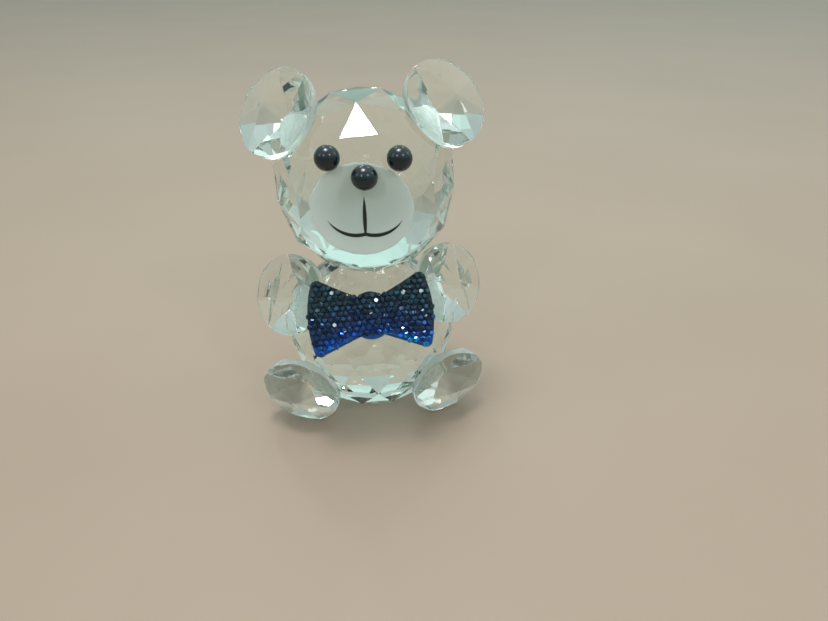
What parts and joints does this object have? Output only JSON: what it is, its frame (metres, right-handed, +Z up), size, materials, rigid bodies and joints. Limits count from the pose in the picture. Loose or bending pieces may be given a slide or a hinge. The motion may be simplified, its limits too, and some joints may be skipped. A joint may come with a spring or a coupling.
{
  "type": "crystal bear figurine",
  "caption": "Seated bear figurine of faceted clear crystal balls and round pointed stones, with black bead eyes and nose, a frosted smiling muzzle and a dark blue jewelled bow tie.",
  "frame": {"origin": "on the table, at the middle of the flat that the body ball stands on", "axes": "+Z up, the bear looks along -Y, +X to the right of someone facing it"},
  "size_m": [0.0531, 0.0421, 0.0801],
  "materials": {
    "crystal": "polished",
    "bead": "gloss",
    "enamel": "satin",
    "resin": "gloss",
    "adhesive": "clear"
  },
  "bodies": {
    "root": {"body_ball": "crystal", "head_ball": "crystal", "ear_left": "crystal", "ear_right": "crystal", "arm_left": "crystal", "arm_right": "crystal", "foot_left": "crystal", "foot_right": "crystal", "eye_left": "bead", "eye_right": "bead", "nose": "bead", "mouth": "enamel", "bow_tie": "resin", "glue_neck": "adhesive", "glue_ear_left": "adhesive", "glue_ear_right": "adhesive", "glue_arm_left": "adhesive", "glue_arm_right": "adhesive", "glue_foot_left": "adhesive", "glue_foot_right": "adhesive", "glue_eye_left": "adhesive", "glue_eye_right": "adhesive", "glue_nose": "adhesive", "glue_bow": "adhesive"}
  },
  "joints": []
}
